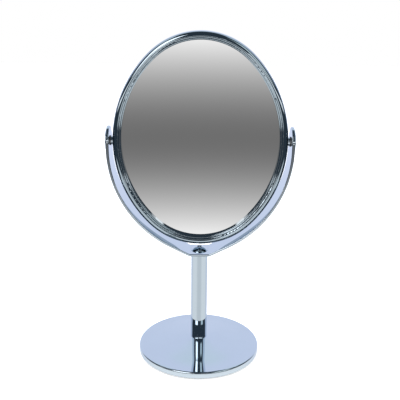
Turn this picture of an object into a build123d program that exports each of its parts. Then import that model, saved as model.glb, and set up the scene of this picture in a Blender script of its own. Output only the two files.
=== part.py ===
from build123d import *
import math
import os

# Oval two-sided countertop mirror in a sprung yoke on a round weighted base.
# Millimetres. +Z is up, -Y is the front, X runs along the tilt axis.
# The origin is the centre of the base's underside.

# ---------------------------------------------------------------- driving dimensions
PIVOT_Z = 214.3
FIT_GAP = 0.05

BASE_RADIUS = 59.8
BASE_SEAT_Z = 13.7
# The cover's downward slope, in degrees, at a few radii; it changes evenly between them.
BASE_SLOPES = ((8.4, 11.0), (16.0, 8.6), (28.0, 8.0), (42.0, 8.8), (BASE_RADIUS, 1.5))
COVER_WALL = 1.0
COVER_LIP_Z = 0.8
COVER_EDGE_ROUND = 1.6
COVER_LIP_ROUND = 0.35
PAD_THICKNESS = 1.2
PAD_RADIUS = 56.0
WEIGHT_GAP = 0.2
RECESS_RADIUS = 13.0
RECESS_TOP_Z = 8.2

POST_RADIUS = 8.0
POST_WALL = 1.2
PLUG_LENGTH = 14.0
SCREW_RADIUS = 3.0
SCREW_END_GAP = 2.0
CLEARANCE_HOLE_RADIUS = 3.3
HUB_WASHER_THICKNESS = 0.8
HUB_WASHER_RADIUS = 7.5
BASE_WASHER_THICKNESS = 1.6
BASE_WASHER_RADIUS = 10.0
LOCK_WASHER_THICKNESS = 1.4
LOCK_WASHER_RADIUS = 5.9
LOCK_WASHER_SPLIT = 1.0
HEX_HEAD_HEIGHT = 3.8
HEX_ACROSS_FLATS = 10.0

STRAP_WIDTH = 27.4
STRAP_THICKNESS = 2.2
STRAP_BOTTOM_Z = 104.6
STRAP_SLOPE = 26.5
STRAP_HUB_HALF = 9.6
STRAP_OUTER_X = 86.1
STRAP_INNER_X = 83.3
STRAP_OUTER_BEND = 106.3
STRAP_INNER_BEND = 103.7
STRAP_HUB_BEND = 2.0
STRAP_EDGE_ROUND = 0.6
EAR_BOSS_RADIUS = 11.0
EAR_BOSS_X = 87.0
EAR_BOSS_ROUND = 0.6

YOKE_SCREW_HEAD_RADIUS = 8.3
YOKE_SCREW_HEAD_HEIGHT = 3.6
YOKE_SCREW_BRIM = 0.4
CROSS_LENGTH = 5.6
CROSS_WIDTH = 1.3
CROSS_DEPTH = 2.0

RIM_HALF_WIDTH = 80.5
RIM_HALF_HEIGHT = 99.1
RIM_END_RADIUS = 67.2
RIM_HALF_DEPTH = 10.0
RIM_WALL = 1.4
BEAD_ROUND = 4.0
BEAD_END = (4.7, 0.9)
MOULDING_END = (6.3, 2.2)
LIP_END = (7.6, 3.4)
MOULDING_BULGE = 0.4
BEAD_END_BULGE = 0.2
FRONT_SEAT_Y = -3.6
REAR_SEAT_Y = 4.2
CORE_INSET = 1.5
CORE_WIDTH = 4.4
GLASS_INSET = 6.6
GLASS_THICKNESS = 1.8
BACKING_THICKNESS = 1.2
MAGNIFIER_THICKNESS = 1.6
MAGNIFIER_RADIUS = 2150.0

STUD_RADIUS = 2.0
STUD_HOLE_RADIUS = 2.2
STUD_LENGTH = 5.2
NUT_BLOCK = (3.2, 4.4, 10.0)
NUT_INSET = 3.6
COLLAR_RADIUS = 3.9
TRUNNION_RADIUS = 2.5
TRUNNION_END_GAP = 0.3
SOCKET_RADIUS = 3.3
SOCKET_DEPTH = 2.8
FLANGE_RADIUS = 4.6
FLANGE_THICKNESS = 0.6
WASHER_RADIUS = 4.3
WASHER_THICKNESS = 0.45
COLLAR_GAP = 0.1

SIDES = {"left": -1, "right": 1}

# ---------------------------------------------------------------- dimensions that follow from them
POST_TOP_Z = STRAP_BOTTOM_Z - HUB_WASHER_THICKNESS
STRAP_SEAT_Z = STRAP_BOTTOM_Z + STRAP_THICKNESS
NUT_X = RIM_HALF_WIDTH - NUT_INSET
COLLAR_END_X = STRAP_INNER_X - FLANGE_THICKNESS - WASHER_THICKNESS - COLLAR_GAP

# The oval is four tangent arcs: two wide side arcs and two tighter end arcs.
RIM_SIDE_RADIUS = (RIM_HALF_WIDTH**2 + RIM_HALF_HEIGHT**2 - 2 * RIM_HALF_HEIGHT * RIM_END_RADIUS) / (
    2 * (RIM_HALF_WIDTH - RIM_END_RADIUS)
)
SIDE_CENTRE_X = RIM_SIDE_RADIUS - RIM_HALF_WIDTH
END_CENTRE_Z = RIM_HALF_HEIGHT - RIM_END_RADIUS
JOIN_ANGLE = math.degrees(math.atan2(END_CENTRE_Z, SIDE_CENTRE_X))


# ---------------------------------------------------------------- shared shapes
def disc(radius, bottom, top):
    """A solid disc on the Z axis between two heights."""
    height = top - bottom
    return Pos(0, 0, bottom + height / 2) * Cylinder(radius, height)


def ring(outer, inner, bottom, top):
    """A flat ring on the Z axis between two heights."""
    return disc(outer, bottom, top) - disc(inner, bottom - 1, top + 1)


def rod_x(radius, start, end):
    """A round bar along the tilt axis between two X positions."""
    length = abs(end - start)
    middle = (start + end) / 2
    return Pos(middle, 0, PIVOT_Z) * Rot(0, 90, 0) * Cylinder(radius, length)


def tube_x(outer, inner, start, end):
    """A sleeve along the tilt axis between two X positions."""
    reach = 1 if end > start else -1
    return rod_x(outer, start, end) - rod_x(inner, start - reach, end + reach)


def spun(*edges):
    """A solid of revolution about Z from a closed outline in the XZ plane."""
    return revolve(make_face(Wire(edges)), Axis.Z)


def save(name, shape):
    """Write one node."""
    export_step(Compound(label=name, children=list(shape.solids())), f"parts/{name}.step")


# ---------------------------------------------------------------- weighted base
def cover_profile(radius, lowered):
    """Arcs down the cover's top from the seat to a radius, and the height they end at."""
    stations = [*BASE_SLOPES[:-1], (radius, BASE_SLOPES[-1][1])]
    r, slope = stations[0][0], math.radians(stations[0][1])
    z = BASE_SEAT_Z - lowered
    arcs = []
    for next_r, next_slope in stations[1:]:
        next_slope = math.radians(next_slope)
        bend = (next_r - r) / (math.sin(next_slope) - math.sin(slope))
        middle_slope = (slope + next_slope) / 2
        middle_r = r + bend * (math.sin(middle_slope) - math.sin(slope))
        middle_z = z + bend * (math.cos(middle_slope) - math.cos(slope))
        next_z = z + bend * (math.cos(next_slope) - math.cos(slope))
        arcs.append(ThreePointArc((r, 0, z), (middle_r, 0, middle_z), (next_r, 0, next_z)))
        r, z, slope = next_r, next_z, next_slope
    return arcs, z


def domed_disc(radius, lowered, bottom):
    """A disc with a flat underside whose top is the cover's top, lowered."""
    arcs, edge_z = cover_profile(radius, lowered)
    seat_radius = BASE_SLOPES[0][0]
    seat_z = BASE_SEAT_Z - lowered
    return spun(
        Line((0, 0, bottom), (radius, 0, bottom)),
        Line((radius, 0, bottom), (radius, 0, edge_z)),
        *arcs,
        Line((seat_radius, 0, seat_z), (0, 0, seat_z)),
        Line((0, 0, seat_z), (0, 0, bottom)),
    )


def rim_circle(shape, radius, at_top):
    """The full circle of a given radius that is highest or lowest on a shape."""
    circles = shape.edges().filter_by(GeomType.CIRCLE)
    circles = circles.filter_by(lambda e: abs(e.radius - radius) < 1e-3)
    return circles.sort_by(Axis.Z)[-1 if at_top else 0]


def base_cover():
    """Polished steel shell: shallow cone, flatter margin, rounded shoulder, short skirt."""
    inner_radius = BASE_RADIUS - COVER_WALL
    skin = domed_disc(BASE_RADIUS, 0, COVER_LIP_Z)
    skin = fillet(rim_circle(skin, BASE_RADIUS, True), COVER_EDGE_ROUND)
    skin = fillet(rim_circle(skin, BASE_RADIUS, False), COVER_LIP_ROUND)
    hollow = domed_disc(inner_radius, COVER_WALL, 0)
    hollow = fillet(rim_circle(hollow, inner_radius, True), COVER_EDGE_ROUND - COVER_WALL)
    return skin - hollow - disc(CLEARANCE_HOLE_RADIUS, 0, BASE_SEAT_Z + 1)


def base_weight():
    """Cast-iron disc that fills the shell, recessed below for the screw head."""
    radius = BASE_RADIUS - COVER_WALL - 3 * WEIGHT_GAP
    weight = domed_disc(radius, COVER_WALL + WEIGHT_GAP, PAD_THICKNESS)
    weight += disc(POST_RADIUS, PAD_THICKNESS, BASE_SEAT_Z - COVER_WALL)
    recess = disc(RECESS_RADIUS, 0, RECESS_TOP_Z)
    return weight - recess - disc(CLEARANCE_HOLE_RADIUS, 0, BASE_SEAT_Z)


def base_pad():
    """Anti-slip pad that the mirror stands on."""
    return ring(PAD_RADIUS, RECESS_RADIUS, 0, PAD_THICKNESS)


def base_washer():
    bottom = RECESS_TOP_Z - BASE_WASHER_THICKNESS
    return ring(BASE_WASHER_RADIUS, CLEARANCE_HOLE_RADIUS, bottom, RECESS_TOP_Z)


def base_lock_washer():
    """Split ring under the plain washer; the split leans."""
    lean = 20
    top = RECESS_TOP_Z - BASE_WASHER_THICKNESS
    washer = ring(LOCK_WASHER_RADIUS, CLEARANCE_HOLE_RADIUS, top - LOCK_WASHER_THICKNESS, top)
    split = Box(LOCK_WASHER_RADIUS, LOCK_WASHER_SPLIT, 4 * LOCK_WASHER_THICKNESS)
    return washer - Pos(LOCK_WASHER_RADIUS, 0, top) * Rot(lean, 0, 0) * split


def base_screw():
    """Hexagon-head screw from below into the post's lower plug."""
    head_top = RECESS_TOP_Z - BASE_WASHER_THICKNESS - LOCK_WASHER_THICKNESS
    head_bottom = head_top - HEX_HEAD_HEIGHT
    outline = RegularPolygon(HEX_ACROSS_FLATS / 2, 6, major_radius=False)
    head = extrude(Pos(0, 0, head_bottom) * outline, HEX_HEAD_HEIGHT)
    thread_end = BASE_SEAT_Z + PLUG_LENGTH - SCREW_END_GAP
    return head + disc(SCREW_RADIUS, head_top, thread_end)


# ---------------------------------------------------------------- post
def post_tube():
    return ring(POST_RADIUS, POST_RADIUS - POST_WALL, BASE_SEAT_Z, POST_TOP_Z)


def post_plug(bottom):
    """Threaded plug pressed into one end of the tube."""
    outer = POST_RADIUS - POST_WALL - FIT_GAP
    return ring(outer, SCREW_RADIUS + FIT_GAP, bottom, bottom + PLUG_LENGTH)


def hub_washer():
    """Thin washer between the tube and the yoke, a little smaller than the tube."""
    return ring(HUB_WASHER_RADIUS, CLEARANCE_HOLE_RADIUS, POST_TOP_Z, STRAP_BOTTOM_Z)


# ---------------------------------------------------------------- yoke
def bend_points(leg_x, hub_half, hub_z, bend):
    """Where a leg's straight slope, its long bend and its upright stretch meet."""
    slope = math.radians(STRAP_SLOPE)
    turn = math.pi / 2 - slope
    reach = bend * math.tan(turn / 2)
    corner_z = hub_z + (leg_x - hub_half) * math.tan(slope)
    start = (leg_x - reach * math.cos(slope), corner_z - reach * math.sin(slope))
    end = (leg_x, corner_z + reach)
    middle_angle = (slope - math.pi / 2) / 2
    centre_x = leg_x - bend
    middle = (centre_x + bend * math.cos(middle_angle), end[1] + bend * math.sin(middle_angle))
    return start, middle, end


def leg_edges(side, leg_x, hub_half, hub_z, bend, top_z):
    """One leg's outline edges from the hub to the ear, for the +X or the -X leg."""
    start, middle, end = bend_points(leg_x, hub_half, hub_z, bend)
    hub = (side * hub_half, 0, hub_z)
    start, middle, end = [(side * x, 0, z) for x, z in (start, middle, end)]
    top = (side * leg_x, 0, top_z)
    return [Line(hub, start), ThreePointArc(start, middle, end), Line(end, top)]


def bent_strap(ear_radius):
    """The flat strip bent to a U, cut round at both ears."""
    top_z = PIVOT_Z + ear_radius
    inner_half = STRAP_HUB_HALF - STRAP_THICKNESS * math.tan(math.radians(STRAP_SLOPE / 2))
    outer = (STRAP_OUTER_X, STRAP_HUB_HALF, STRAP_BOTTOM_Z, STRAP_OUTER_BEND, top_z)
    inner = (STRAP_INNER_X, inner_half, STRAP_SEAT_Z, STRAP_INNER_BEND, top_z)
    edges = [
        Line((-STRAP_HUB_HALF, 0, STRAP_BOTTOM_Z), (STRAP_HUB_HALF, 0, STRAP_BOTTOM_Z)),
        Line((-inner_half, 0, STRAP_SEAT_Z), (inner_half, 0, STRAP_SEAT_Z)),
    ]
    for side in SIDES.values():
        edges += leg_edges(side, *outer) + leg_edges(side, *inner)
        edges.append(Line((side * STRAP_INNER_X, 0, top_z), (side * STRAP_OUTER_X, 0, top_z)))
    strap = extrude(make_face(Wire.combine(edges)[0]), ear_radius, dir=(0, 1, 0), both=True)
    hub_edges = strap.edges().filter_by(Axis.Y).filter_by(lambda e: abs(e.center().X) <= STRAP_HUB_HALF)
    strap = fillet(hub_edges, STRAP_HUB_BEND)
    below_pivot = Pos(0, 0, PIVOT_Z / 2) * Box(4 * STRAP_OUTER_X, STRAP_WIDTH, PIVOT_Z)
    return strap & (below_pivot + rod_x(ear_radius, -STRAP_OUTER_X - 1, STRAP_OUTER_X + 1))


def yoke_strap():
    """Strap with softened long edges; bosses on the ears close the sockets for the bushes."""
    strap = bent_strap(STRAP_WIDTH / 2)
    strap = fillet(strap.edges().filter_by(Axis.Y, reverse=True), STRAP_EDGE_ROUND)
    for side in SIDES.values():
        boss = rod_x(EAR_BOSS_RADIUS, side * (STRAP_OUTER_X - 1), side * EAR_BOSS_X)
        outer_circle = boss.edges().sort_by(lambda e: abs(e.center().X))[-1]
        strap += fillet(outer_circle, EAR_BOSS_ROUND)
    for side in SIDES.values():
        strap -= rod_x(SOCKET_RADIUS, side * (STRAP_INNER_X - 1), side * (STRAP_INNER_X + SOCKET_DEPTH))
    return strap - disc(CLEARANCE_HOLE_RADIUS, STRAP_BOTTOM_Z - 1, STRAP_SEAT_Z + 1)


def yoke_screw():
    """Low domed cross-head screw through the yoke into the post's upper plug."""
    brim_z = STRAP_SEAT_Z + YOKE_SCREW_BRIM
    top_z = STRAP_SEAT_Z + YOKE_SCREW_HEAD_HEIGHT
    radius = YOKE_SCREW_HEAD_RADIUS
    dome = YOKE_SCREW_HEAD_HEIGHT - YOKE_SCREW_BRIM
    dome_radius = (radius**2 + dome**2) / (2 * dome)
    middle_x = radius / 2
    middle_z = top_z - dome_radius + math.sqrt(dome_radius**2 - middle_x**2)
    head = spun(
        Line((0, 0, STRAP_SEAT_Z), (radius, 0, STRAP_SEAT_Z)),
        Line((radius, 0, STRAP_SEAT_Z), (radius, 0, brim_z)),
        ThreePointArc((radius, 0, brim_z), (middle_x, 0, middle_z), (0, 0, top_z)),
        Line((0, 0, top_z), (0, 0, STRAP_SEAT_Z)),
    )
    for turn in (45, 135):
        head -= Pos(0, 0, top_z) * Rot(0, 0, turn) * Box(CROSS_LENGTH, CROSS_WIDTH, 2 * CROSS_DEPTH)
    thread_end = POST_TOP_Z - PLUG_LENGTH + SCREW_END_GAP
    return head + disc(SCREW_RADIUS, thread_end, STRAP_SEAT_Z)


# ---------------------------------------------------------------- oval rim
def oval_arcs():
    """Centre, radius, middle direction and sweep of each arc of the outer oval."""
    end_sweep = 180 - 2 * JOIN_ANGLE
    return [
        ((-SIDE_CENTRE_X, 0), RIM_SIDE_RADIUS, 0, 2 * JOIN_ANGLE),
        ((0, END_CENTRE_Z), RIM_END_RADIUS, 90, end_sweep),
        ((SIDE_CENTRE_X, 0), RIM_SIDE_RADIUS, 180, 2 * JOIN_ANGLE),
        ((0, -END_CENTRE_Z), RIM_END_RADIUS, 270, end_sweep),
    ]


def oval_plate(inset, front, back):
    """A flat oval plate, its edge set in from the rim's outer face by inset."""
    edges = []
    for (centre_x, centre_z), radius, heading, sweep in oval_arcs():
        points = []
        for step in (-0.5, 0, 0.5):
            angle = math.radians(heading + step * sweep)
            x = centre_x + (radius - inset) * math.cos(angle)
            z = PIVOT_Z + centre_z + (radius - inset) * math.sin(angle)
            points.append((x, front, z))
        edges.append(ThreePointArc(*points))
    return extrude(make_face(Wire.combine(edges, 1e-4)[0]), back - front, dir=(0, 1, 0))


def oval_ring(section):
    """Turn a section, given as inset and Y edges, round the four arcs of the oval."""
    pieces = []
    for (centre_x, centre_z), radius, heading, sweep in oval_arcs():
        axis = Axis((centre_x, 0, PIVOT_Z + centre_z), (0, -1, 0))
        start = heading - sweep / 2
        placed = Pos(centre_x, 0, PIVOT_Z + centre_z) * Rot(0, -start, 0) * Pos(radius, 0, 0) * section
        pieces.append(revolve(placed, axis, sweep))
    ring_solid = pieces[0]
    for piece in pieces[1:]:
        ring_solid += piece
    return ring_solid


def rim_section(facing, seat_y):
    """Rim section: outer wall, rounded bead, two finer mouldings and the lip over the glass.

    X is minus the inset from the outer face; facing is -1 for the front rim, 1 for the rear.
    """

    def at(inset, drop):
        return -inset, facing * (RIM_HALF_DEPTH - drop)

    def bulged(start, end, bulge):
        """Arc between two points of the face that stands proud of their chord by the bulge."""
        run = end[0] - start[0]
        rise = end[1] - start[1]
        reach = facing * bulge / math.hypot(run, rise)
        middle = ((start[0] + end[0]) / 2 + reach * rise, (start[1] + end[1]) / 2 - reach * run)
        return ThreePointArc(start, middle, end)

    bead_start = at(0, BEAD_ROUND)
    bead_middle = at(BEAD_ROUND * (1 - math.sqrt(0.5)), BEAD_ROUND * (1 - math.sqrt(0.5)))
    crest = at(BEAD_ROUND, 0)
    bead_end = at(*BEAD_END)
    moulding_end = at(*MOULDING_END)
    lip_end = at(*LIP_END)
    lip_inset, _ = LIP_END
    corners = [lip_end, (-lip_inset, seat_y), (-RIM_WALL, seat_y), (-RIM_WALL, 0), (0, 0), bead_start]
    edges = [Line(a, b) for a, b in zip(corners, corners[1:])]
    edges.append(ThreePointArc(bead_start, bead_middle, crest))
    edges.append(bulged(crest, bead_end, BEAD_END_BULGE))
    edges.append(bulged(bead_end, moulding_end, MOULDING_BULGE))
    edges.append(bulged(moulding_end, lip_end, MOULDING_BULGE))
    return make_face(Wire.combine(edges)[0])


def pivot_holes():
    """Both radial holes through the rim for the pivot screws."""
    lip_inset, _ = LIP_END
    inner = RIM_HALF_WIDTH - 2 * lip_inset
    outer = RIM_HALF_WIDTH + 1
    return rod_x(STUD_HOLE_RADIUS, -outer, -inner) + rod_x(STUD_HOLE_RADIUS, inner, outer)


def front_rim():
    return oval_ring(rim_section(-1, FRONT_SEAT_Y)) - pivot_holes()


def rear_rim():
    return oval_ring(rim_section(1, REAR_SEAT_Y)) - pivot_holes()


def core_frame():
    """Moulded ring inside the rims; pockets at both sides hold the threaded blocks."""
    front = FRONT_SEAT_Y + FIT_GAP
    back = REAR_SEAT_Y - FIT_GAP
    frame = oval_plate(CORE_INSET, front, back) - oval_plate(CORE_INSET + CORE_WIDTH, front - 1, back + 1)
    _, block_y, block_z = NUT_BLOCK
    pocket_back = block_y / 2 + FIT_GAP
    pocket_front = front - 1
    pocket = Box(4 * CORE_WIDTH, pocket_back - pocket_front, block_z + 2 * FIT_GAP)
    for side in SIDES.values():
        frame -= Pos(side * NUT_X, (pocket_back + pocket_front) / 2, PIVOT_Z) * pocket
    return frame


# ---------------------------------------------------------------- mirrors
def plane_mirror():
    return oval_plate(GLASS_INSET, FRONT_SEAT_Y, FRONT_SEAT_Y + GLASS_THICKNESS)


def backing_sheet():
    """Foam sheet between the two mirrors."""
    front = FRONT_SEAT_Y + GLASS_THICKNESS
    return oval_plate(GLASS_INSET, front, front + BACKING_THICKNESS)


def magnifying_mirror():
    """Bent glass of even thickness, hollow towards the rear."""
    half_height = RIM_HALF_HEIGHT - GLASS_INSET
    centre_y = REAR_SEAT_Y + math.sqrt(MAGNIFIER_RADIUS**2 - half_height**2)
    hollow = Pos(0, centre_y, PIVOT_Z) * Sphere(MAGNIFIER_RADIUS)
    bulge = Pos(0, centre_y, PIVOT_Z) * Sphere(MAGNIFIER_RADIUS + MAGNIFIER_THICKNESS)
    blank = oval_plate(GLASS_INSET, -1, REAR_SEAT_Y)
    return (blank & bulge) - hollow


# ---------------------------------------------------------------- pivots
def pivot_block(side):
    """Threaded block in the core frame that the pivot screw pulls against."""
    block = Pos(side * NUT_X, 0, PIVOT_Z) * Box(*NUT_BLOCK)
    reach = NUT_BLOCK[0]
    return block - rod_x(STUD_RADIUS + FIT_GAP, side * (NUT_X - reach), side * (NUT_X + reach))


def pivot_screw(side):
    """Shouldered screw: thread into the head, collar in the gap, trunnion in the ear."""
    trunnion_end = STRAP_INNER_X + SOCKET_DEPTH - TRUNNION_END_GAP
    screw = rod_x(STUD_RADIUS, side * (RIM_HALF_WIDTH - STUD_LENGTH), side * RIM_HALF_WIDTH)
    screw += rod_x(COLLAR_RADIUS, side * RIM_HALF_WIDTH, side * COLLAR_END_X)
    screw += rod_x(TRUNNION_RADIUS, side * COLLAR_END_X, side * trunnion_end)
    return screw


def pivot_bush(side):
    """Flanged nylon bush pressed into the ear's socket."""
    bore = TRUNNION_RADIUS + FIT_GAP
    sleeve_end = STRAP_INNER_X + SOCKET_DEPTH - FIT_GAP
    flange = tube_x(FLANGE_RADIUS, bore, side * (STRAP_INNER_X - FLANGE_THICKNESS), side * STRAP_INNER_X)
    return flange + tube_x(SOCKET_RADIUS - FIT_GAP, bore, side * STRAP_INNER_X, side * sleeve_end)


def pivot_washer(side):
    """Friction washer between the bush's flange and the screw's collar."""
    outer_x = STRAP_INNER_X - FLANGE_THICKNESS
    inner_x = outer_x - WASHER_THICKNESS
    return tube_x(WASHER_RADIUS, TRUNNION_RADIUS + FIT_GAP, side * inner_x, side * outer_x)


# ---------------------------------------------------------------- write the nodes
os.makedirs("parts", exist_ok=True)

for build_node in (
    base_cover,
    base_weight,
    base_pad,
    base_washer,
    base_lock_washer,
    base_screw,
    post_tube,
    hub_washer,
    yoke_strap,
    yoke_screw,
    front_rim,
    rear_rim,
    core_frame,
    plane_mirror,
    backing_sheet,
    magnifying_mirror,
):
    save(build_node.__name__, build_node())

save("post_lower_plug", post_plug(BASE_SEAT_Z))
save("post_upper_plug", post_plug(POST_TOP_Z - PLUG_LENGTH))

for side_name, side_sign in SIDES.items():
    for build_pivot in (pivot_block, pivot_screw, pivot_bush, pivot_washer):
        save(f"{build_pivot.__name__}_{side_name}", build_pivot(side_sign))
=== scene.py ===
import math

import bpy
from mathutils import Euler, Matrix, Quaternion

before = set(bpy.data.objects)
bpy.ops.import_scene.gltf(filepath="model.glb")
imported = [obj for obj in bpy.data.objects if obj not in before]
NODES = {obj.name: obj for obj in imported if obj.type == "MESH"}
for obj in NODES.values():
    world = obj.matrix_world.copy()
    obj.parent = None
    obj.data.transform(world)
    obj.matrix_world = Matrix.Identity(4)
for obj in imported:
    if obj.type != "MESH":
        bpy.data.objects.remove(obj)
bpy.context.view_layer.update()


# ---------------------------------------------------------------- materials
CHROME_TINT = (0.60, 0.67, 0.73)
# The rims get a darker copy of the same chrome: painted shade that makes them look darker than the yoke.
RIM_PAINTED_SHADE_TINT = (0.43, 0.50, 0.55)
CHROME_HAZE = 0.985
CHROME_GLOSS = (0.021, 0.039)
GLASS_DARK = (0.885, 0.885, 0.885)
GLASS_LIGHT = (0.90, 0.90, 0.90)
GLASS_GLOSS = (0.004, 0.012)
GRAIN_LEVELS = (0.35, 0.65)
SMEAR_LEVELS = (0.3, 0.7)
ROUGHNESS_SPREAD = 0.15


def new_material(name):
    """A node material and its Principled shader."""
    material = bpy.data.materials.new(name)
    material.use_nodes = True
    return material, material.node_tree.nodes["Principled BSDF"]


def drifting(name, colours, levels, gloss, scale, detail, metallic):
    """A material whose colour and roughness drift with fine noise.

    The first colour is at the first noise level and the second at the second; gloss is the least and
    the most roughness.
    """
    material, shader = new_material(name)
    nodes = material.node_tree.nodes
    join = material.node_tree.links.new
    shader.inputs["Metallic"].default_value = metallic
    where = nodes.new("ShaderNodeTexCoord")
    noise = nodes.new("ShaderNodeTexNoise")
    noise.inputs["Scale"].default_value = scale
    noise.inputs["Detail"].default_value = detail
    join(where.outputs["Object"], noise.inputs["Vector"])
    tint = nodes.new("ShaderNodeValToRGB")
    for stop, level, colour in zip(tint.color_ramp.elements, levels, colours):
        stop.position = level
        stop.color = (*colour, 1.0)
    join(noise.outputs["Fac"], tint.inputs["Fac"])
    join(tint.outputs["Color"], shader.inputs["Base Color"])
    roughness = nodes.new("ShaderNodeMapRange")
    roughness.inputs["To Min"].default_value = gloss[0]
    roughness.inputs["To Max"].default_value = gloss[1]
    join(noise.outputs["Fac"], roughness.inputs["Value"])
    join(roughness.outputs["Result"], shader.inputs["Roughness"])
    return material


def chrome(name, colour):
    """Polished chrome plate with a faint haze."""
    hazy = [c * CHROME_HAZE for c in colour]
    return drifting(name, (hazy, colour), GRAIN_LEVELS, CHROME_GLOSS, scale=60.0, detail=3.0, metallic=1.0)


def silvered_glass():
    """Mirror glass with faint, broad smears."""
    return drifting("silvered_glass", (GLASS_DARK, GLASS_LIGHT), SMEAR_LEVELS, GLASS_GLOSS,
                    scale=9.0, detail=2.0, metallic=1.0)


def plain(name, dark, light, rough, scale, metallic=0.0):
    """A matt or dull surface with fine mottling."""
    gloss = (rough * (1 - ROUGHNESS_SPREAD), min(1.0, rough * (1 + ROUGHNESS_SPREAD)))
    return drifting(name, (dark, light), GRAIN_LEVELS, gloss, scale, detail=6.0, metallic=metallic)


def paint(material, *names):
    for name in names:
        slots = NODES[name].data.materials
        slots.clear()
        slots.append(material)


paint(chrome("chrome", CHROME_TINT), "base_cover", "post_tube", "hub_washer", "yoke_strap", "yoke_screw",
      "pivot_screw_left", "pivot_screw_right")
# Painted shade: the rims use the darker copy of the chrome.
paint(chrome("rim_chrome_painted_shade", RIM_PAINTED_SHADE_TINT), "front_rim", "rear_rim")
paint(silvered_glass(), "plane_mirror", "magnifying_mirror")
paint(plain("rubber", (0.012, 0.012, 0.013), (0.03, 0.03, 0.032), rough=0.75, scale=900.0), "base_pad")
paint(plain("cast_iron", (0.05, 0.05, 0.052), (0.10, 0.10, 0.10), rough=0.6, scale=700.0, metallic=0.6),
      "base_weight")
paint(plain("zinc_steel", (0.5, 0.51, 0.52), (0.62, 0.63, 0.65), rough=0.3, scale=1500.0, metallic=1.0),
      "base_washer", "base_lock_washer", "base_screw", "post_lower_plug", "post_upper_plug",
      "pivot_washer_left", "pivot_washer_right")
paint(plain("nylon", (0.03, 0.03, 0.032), (0.05, 0.05, 0.052), rough=0.4, scale=1200.0),
      "pivot_bush_left", "pivot_bush_right")
paint(plain("moulded_black", (0.02, 0.02, 0.02), (0.035, 0.035, 0.035), rough=0.55, scale=900.0),
      "core_frame")
paint(plain("foam", (0.6, 0.6, 0.58), (0.75, 0.75, 0.73), rough=0.95, scale=2000.0), "backing_sheet")
paint(plain("brass", (0.55, 0.40, 0.18), (0.66, 0.49, 0.24), rough=0.3, scale=1500.0, metallic=1.0),
      "pivot_block_left", "pivot_block_right")


# ---------------------------------------------------------------- surroundings
# Chrome and glass show only what is around them. It is painted by direction, in degrees, and is fitted to
# the front view. Elevation is above the level. Turn is to the right of straight in front, and azimuth is
# the turn without its sign. A pair is where a soft edge begins and ends, or a band's two sides.
DARK = (0.042, 0.060, 0.078)

TABLE_EDGE = (-20.0, -17.0)
TABLE_FRONT = (0.76, 0.79, 0.81)
TABLE_SIDES = (0.93, 0.96, 0.97)
TABLE_SIDES_EDGE = (14.0, 45.0)
TABLE_REAR = (0.74, 0.80, 0.93)
TABLE_REAR_EDGE = (80.0, 130.0)
TABLE_NEAR = (1.10, 1.13, 1.15)
TABLE_NEAR_EDGE = (-33.0, -29.0)
UNDERNEATH_EDGE = (-51.0, -45.0)

WALL = (0.80, 0.86, 1.05)
WALL_HIGH = (0.76, 0.87, 0.98)
WALL_HIGH_EDGE = (38.0, 50.0)
WALL_AZIMUTH = 115.0
WALL_LEAN = -0.6
WALL_SOFTNESS = (-8.0, 8.0)
CEILING_EDGE = (62.0, 70.0)

STRIP = (1.5, 1.5, 1.5)
STRIP_BAND = (3.0, 9.0)
STRIP_SOFTNESS = 1.0
STRIP_END = (70.0, 80.0)
PERSON_EDGE = (4.0, 7.0)

LEFT_BOX = (2.6, 2.65, 2.7)
LEFT_BOX_BAND = (-48.0, -15.0)
LEFT_BOX_TOP = 48.4
RIGHT_BOX = (0.85, 0.97, 1.0)
RIGHT_BOX_BAND = (31.0, 60.0)
RIGHT_BOX_RISE = -1.2
BOX_SIDE_SOFTNESS = 2.0
BOX_BOTTOM_EDGE = (14.0, 16.0)
BOX_TOP_SOFTNESS = (-0.8, 0.8)
MIDDLE_EDGE = (-1.0, 1.0)

SHADE_CENTRE = -11.6
SHADE_HEART = 0.175
SHADE_RISE = 0.0108
SHADE_SIDE_EDGE = (11.0, 16.0)
SHADE_BAND = (-20.5, -2.5)
SHADE_SOFTNESS = 0.5

BACKDROP = (1.0, 1.0, 1.0)

# Places of the colour sockets on a Mix node.
MIX_FIRST = 6
MIX_SECOND = 7
MIX_RESULT = 2


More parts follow.
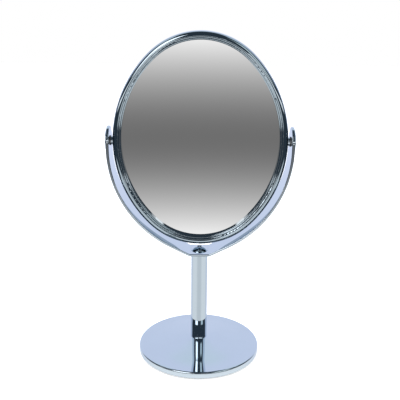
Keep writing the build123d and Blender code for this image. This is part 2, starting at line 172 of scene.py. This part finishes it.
class Sky:
    """World shader nodes that work on the direction a ray leaves in."""

    def __init__(self, tree):
        self.tree = tree
        where = tree.nodes.new("ShaderNodeTexCoord")
        split = tree.nodes.new("ShaderNodeSeparateXYZ")
        tree.links.new(where.outputs["Generated"], split.inputs["Vector"])
        x, y, z = split.outputs
        degrees = 180 / math.pi
        self.elevation = self.maths("MULTIPLY", self.maths("ARCSINE", z), degrees)
        front = self.maths("MULTIPLY", y, -1.0)
        self.turn = self.maths("MULTIPLY", self.maths("ARCTAN2", x, front), degrees)
        self.azimuth = self.maths("ABSOLUTE", self.turn)

    def maths(self, operation, *terms):
        """A maths node's output; each term is a number or another node's output."""
        node = self.tree.nodes.new("ShaderNodeMath")
        node.operation = operation
        for socket, term in zip(node.inputs, terms):
            if isinstance(term, (int, float)):
                socket.default_value = term
            else:
                self.tree.links.new(term, socket)
        return node.outputs[0]

    def both(self, a, b):
        return self.maths("MULTIPLY", a, b)

    def opposite(self, a):
        return self.maths("SUBTRACT", 1.0, a)

    def past(self, value, edge):
        """Nought before a soft edge and one after it."""
        node = self.tree.nodes.new("ShaderNodeMapRange")
        node.interpolation_type = "SMOOTHSTEP"
        node.inputs["From Min"].default_value = edge[0]
        node.inputs["From Max"].default_value = edge[1]
        self.tree.links.new(value, node.inputs["Value"])
        return node.outputs["Result"]

    def before(self, value, edge):
        """One before a soft edge and nought after it."""
        return self.opposite(self.past(value, edge))

    def inside(self, value, band, softness):
        """One inside a band and nought outside it."""
        low, high = band
        rise = self.past(value, (low - softness, low + softness))
        fall = self.past(value, (high - softness, high + softness))
        return self.maths("SUBTRACT", rise, fall)

    def blend(self, factor, first, second):
        """The first colour where the factor is nought, the second where it is one."""
        node = self.tree.nodes.new("ShaderNodeMix")
        node.data_type = "RGBA"
        self.tree.links.new(factor, node.inputs["Factor"])
        for place, colour in ((MIX_FIRST, first), (MIX_SECOND, second)):
            if isinstance(colour, tuple):
                node.inputs[place].default_value = (*colour, 1.0)
            else:
                self.tree.links.new(colour, node.inputs[place])
        return node.outputs[MIX_RESULT]


def table_colour(sky):
    """Pale table: whiter to the sides, bluer behind, bright close by and dark right underneath."""
    colour = sky.blend(sky.past(sky.azimuth, TABLE_SIDES_EDGE), TABLE_FRONT, TABLE_SIDES)
    colour = sky.blend(sky.past(sky.azimuth, TABLE_REAR_EDGE), colour, TABLE_REAR)
    colour = sky.blend(sky.past(sky.elevation, TABLE_NEAR_EDGE), TABLE_NEAR, colour)
    return sky.blend(sky.past(sky.elevation, UNDERNEATH_EDGE), DARK, colour)


def wall_colour(sky):
    """Dark in front and overhead; behind, a pale blue wall that comes further forward as it rises."""
    wall = sky.blend(sky.past(sky.elevation, WALL_HIGH_EDGE), WALL, WALL_HIGH)
    edge = sky.maths("MULTIPLY_ADD", sky.elevation, WALL_LEAN, WALL_AZIMUTH)
    behind = sky.past(sky.maths("SUBTRACT", sky.azimuth, edge), WALL_SOFTNESS)
    behind = sky.both(behind, sky.before(sky.elevation, CEILING_EDGE))
    return sky.blend(behind, DARK, wall)


def with_strip(sky, colour):
    """Adds the bright strip at eye level, which the person at the camera breaks in the middle."""
    strip = sky.both(sky.before(sky.azimuth, STRIP_END),
                     sky.inside(sky.elevation, STRIP_BAND, STRIP_SOFTNESS))
    person = sky.before(sky.azimuth, PERSON_EDGE)
    return sky.blend(sky.both(strip, sky.opposite(person)), colour, STRIP)


def with_soft_boxes(sky, colour):
    """Adds an upright soft box on each side of the camera; the right one is lower and dimmer."""
    right = sky.past(sky.turn, MIDDLE_EDGE)
    top = sky.maths("MULTIPLY_ADD", right, RIGHT_BOX_RISE, LEFT_BOX_TOP)
    sides = sky.maths("MAXIMUM", sky.inside(sky.turn, LEFT_BOX_BAND, BOX_SIDE_SOFTNESS),
                      sky.inside(sky.turn, RIGHT_BOX_BAND, BOX_SIDE_SOFTNESS))
    box = sky.both(sides, sky.past(sky.elevation, BOX_BOTTOM_EDGE))
    box = sky.both(box, sky.before(sky.maths("SUBTRACT", sky.elevation, top), BOX_TOP_SOFTNESS))
    return sky.blend(box, colour, sky.blend(right, LEFT_BOX, RIGHT_BOX))


def with_front_shade(sky, colour):
    """Adds the soft shade straight in front, deepest a little below the level."""
    off_centre = sky.maths("SUBTRACT", sky.elevation, SHADE_CENTRE)
    shade = sky.maths("MULTIPLY_ADD", sky.both(off_centre, off_centre), SHADE_RISE, SHADE_HEART)
    middle = sky.both(sky.before(sky.azimuth, SHADE_SIDE_EDGE),
                      sky.inside(sky.elevation, SHADE_BAND, SHADE_SOFTNESS))
    return sky.blend(middle, colour, shade)


def studio_world():
    """The surroundings that reflections show, and a plain white backdrop for the camera."""
    world = bpy.data.worlds.new("studio")
    bpy.context.scene.world = world
    world.use_nodes = True
    tree = world.node_tree
    sky = Sky(tree)
    room = with_soft_boxes(sky, with_strip(sky, wall_colour(sky)))
    colour = sky.blend(sky.past(sky.elevation, TABLE_EDGE), table_colour(sky), room)
    colour = with_front_shade(sky, colour)
    path = tree.nodes.new("ShaderNodeLightPath")
    colour = sky.blend(path.outputs["Is Camera Ray"], colour, BACKDROP)
    background = tree.nodes["Background"]
    background.inputs["Strength"].default_value = 1.0
    tree.links.new(colour, background.inputs["Color"])


# ---------------------------------------------------------------- floor, light and camera
def floor():
    """A pale sheet just under the base pad, left out of reflections."""
    half = 3.0
    drop = 0.0004
    corners = [(x * half, y * half, -drop) for x, y in ((-1, -1), (1, -1), (1, 1), (-1, 1))]
    mesh = bpy.data.meshes.new("floor")
    mesh.from_pydata(corners, [], [(0, 1, 2, 3)])
    sheet = bpy.data.objects.new("floor", mesh)
    bpy.context.scene.collection.objects.link(sheet)
    material, shader = new_material("floor")
    shader.inputs["Base Color"].default_value = (0.95, 0.95, 0.95, 1.0)
    shader.inputs["Roughness"].default_value = 1.0
    shader.inputs["Specular IOR Level"].default_value = 0.0
    shader.inputs["Emission Color"].default_value = (1.0, 1.0, 1.0, 1.0)
    shader.inputs["Emission Strength"].default_value = 0.6
    mesh.materials.append(material)
    sheet.visible_glossy = False


def lights():
    """One large soft light overhead, for the floor and the matt pieces."""
    data = bpy.data.lights.new("overhead", "AREA")
    data.shape = "DISK"
    data.size = 1.6
    data.energy = 40.0
    lamp = bpy.data.objects.new("overhead", data)
    bpy.context.scene.collection.objects.link(lamp)
    lamp.location = (0.0, 0.2, 2.2)
    lamp.visible_glossy = False


def camera():
    """Straight in front of the mirror, above it and looking down."""
    distance = 0.5889
    height = 0.3386
    tilt = math.radians(17.13)
    roll = math.radians(0.52)
    data = bpy.data.cameras.new("camera")
    data.sensor_width = 36.0
    data.lens = 58.284
    data.shift_x = 0.0003
    data.clip_start = 0.05
    data.clip_end = 20.0
    seat = bpy.data.objects.new("camera", data)
    bpy.context.scene.collection.objects.link(seat)
    seat.location = (0.0, -distance, height)
    seat.rotation_mode = "QUATERNION"
    gaze = Euler((math.pi / 2 - tilt, 0, 0)).to_quaternion()
    seat.rotation_quaternion = gaze @ Quaternion((0, 0, 1), roll)
    bpy.context.scene.camera = seat


studio_world()
floor()
lights()
camera()
bpy.context.scene.view_settings.view_transform = "Standard"
